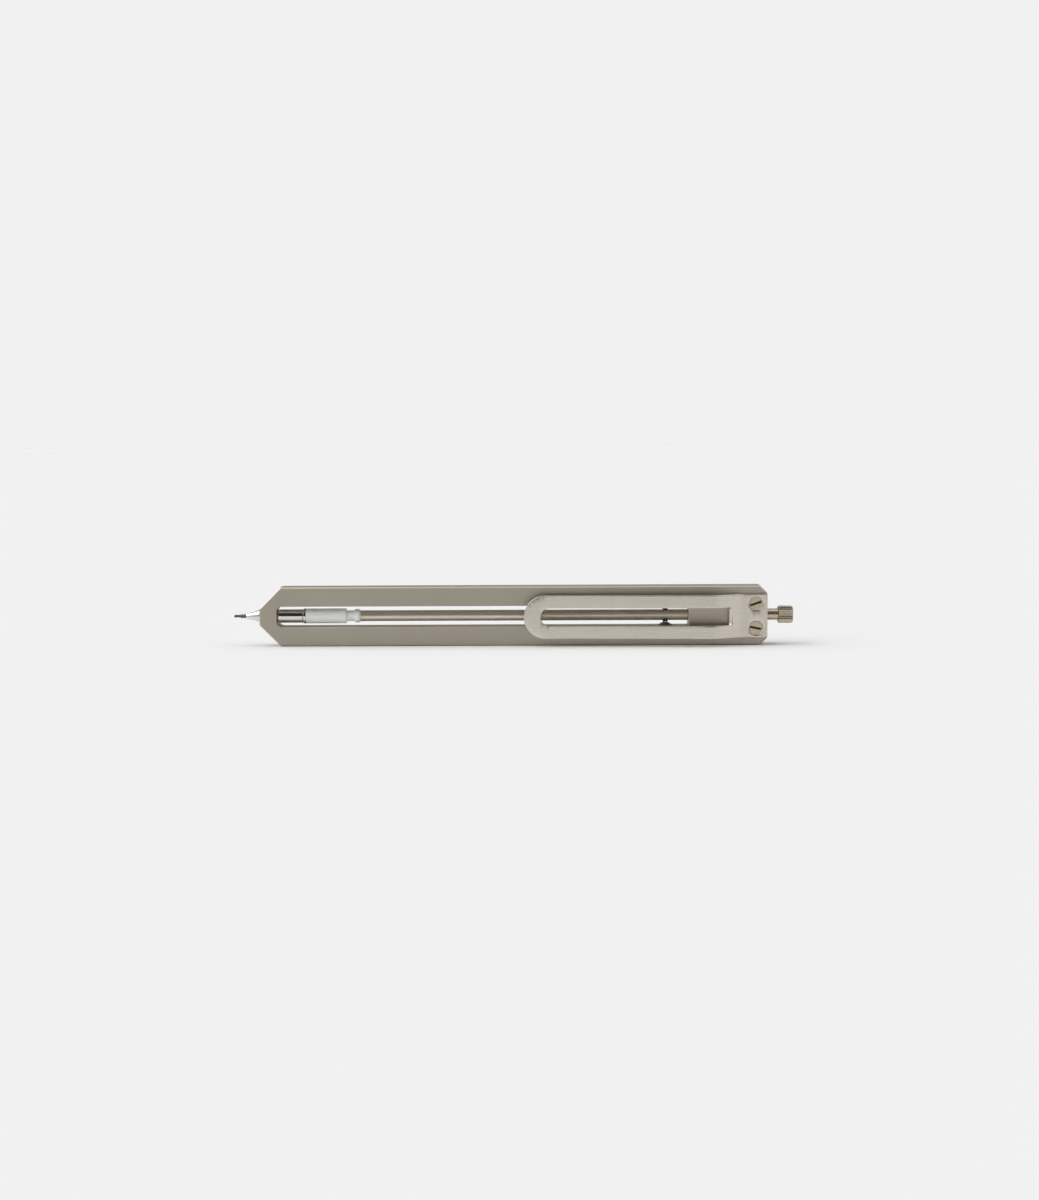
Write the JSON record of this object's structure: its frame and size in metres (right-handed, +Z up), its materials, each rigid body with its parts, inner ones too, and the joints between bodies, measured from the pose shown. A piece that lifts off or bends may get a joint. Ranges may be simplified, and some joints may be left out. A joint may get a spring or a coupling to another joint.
{
  "type": "lead holder",
  "caption": "Flat slotted-bar lead holder with an exposed click mechanism, tip cone, knurled push knob and a screwed-on pocket clip.",
  "frame": {"origin": "middle of the bar's long narrow face that the holder stands on", "axes": "+X from the lead point to the push knob, +Y from the clip side to the back, +Z up across the bar's width"},
  "size_m": [0.1439, 0.0097, 0.0153],
  "materials": {
    "blasted_titanium": "bead-blasted bare titanium bar",
    "brushed_titanium": "brushed bare titanium strip",
    "screw_steel": "turned stainless screw heads",
    "polished_steel": "polished turned steel",
    "sleeve_steel": "drawn stainless tube",
    "retainer_rubber": "moulded rubber",
    "graphite": "polymer-bonded graphite lead",
    "chrome_plate": "bright chrome plate",
    "brass": "turned brass",
    "spring_wire": "spring wire",
    "milky_plastic": "translucent moulded acetal",
    "nickel_tube": "nickel-plated drawn brass tube",
    "black_spring_steel": "black-oxide spring steel",
    "rest_steel": "turned steel foot, dulled",
    "knob_steel": "turned and knurled stainless steel"
  },
  "bodies": {
    "frame": {"body_frame": "blasted_titanium", "clip_foot": "brushed_titanium", "clip_screws": "screw_steel", "nose_cone": "polished_steel", "lead_sleeve": "sleeve_steel", "lead_retainer": "retainer_rubber", "ferrule": "chrome_plate", "collar": "chrome_plate", "spring_barrel": "milky_plastic", "tube_rest": "rest_steel"},
    "clip": {"clip_arm": "brushed_titanium"},
    "pusher": {"chuck": "brass", "chuck_spring": "spring_wire", "tube_coupling": "milky_plastic", "lead_tube": "nickel_tube", "snap_ring": "black_spring_steel", "spare_leads": "graphite"},
    "clutch": {"clutch_ring": "brass"},
    "stick": {"lead": "graphite"},
    "knob": {"knob": "knob_steel", "grip_ring": "retainer_rubber"}
  },
  "joints": [
    {"name": "click", "type": "slide", "parent": "frame", "child": "pusher", "axis": [-1, 0, 0], "range_m": [0, 0.0022], "stiffness_N_per_m": 400, "springref_m": -0.002, "deforming": ["chuck_spring"]},
    {"name": "clutch_slide", "type": "slide", "parent": "frame", "child": "clutch", "axis": [-1, 0, 0], "range_m": [0, 0.0008]},
    {"name": "lead_feed", "type": "slide", "parent": "clutch", "child": "stick", "axis": [-1, 0, 0], "range_m": [-0.0017, 0.01]},
    {"name": "knob_pull", "type": "slide", "parent": "pusher", "child": "knob", "axis": [1, 0, 0], "range_m": [0, 0.006]},
    {"name": "clip_flex", "type": "hinge", "parent": "frame", "child": "clip", "pos_m": [0.0593, -0.00365, 0.00762], "axis": [0, 0, 1], "range_deg": [0, 3], "stiffness_Nm_per_rad": 0.3}
  ],
  "couplings": [
    {"joint": "clutch_slide", "follows": "click", "ratio": 0.36}
  ]
}
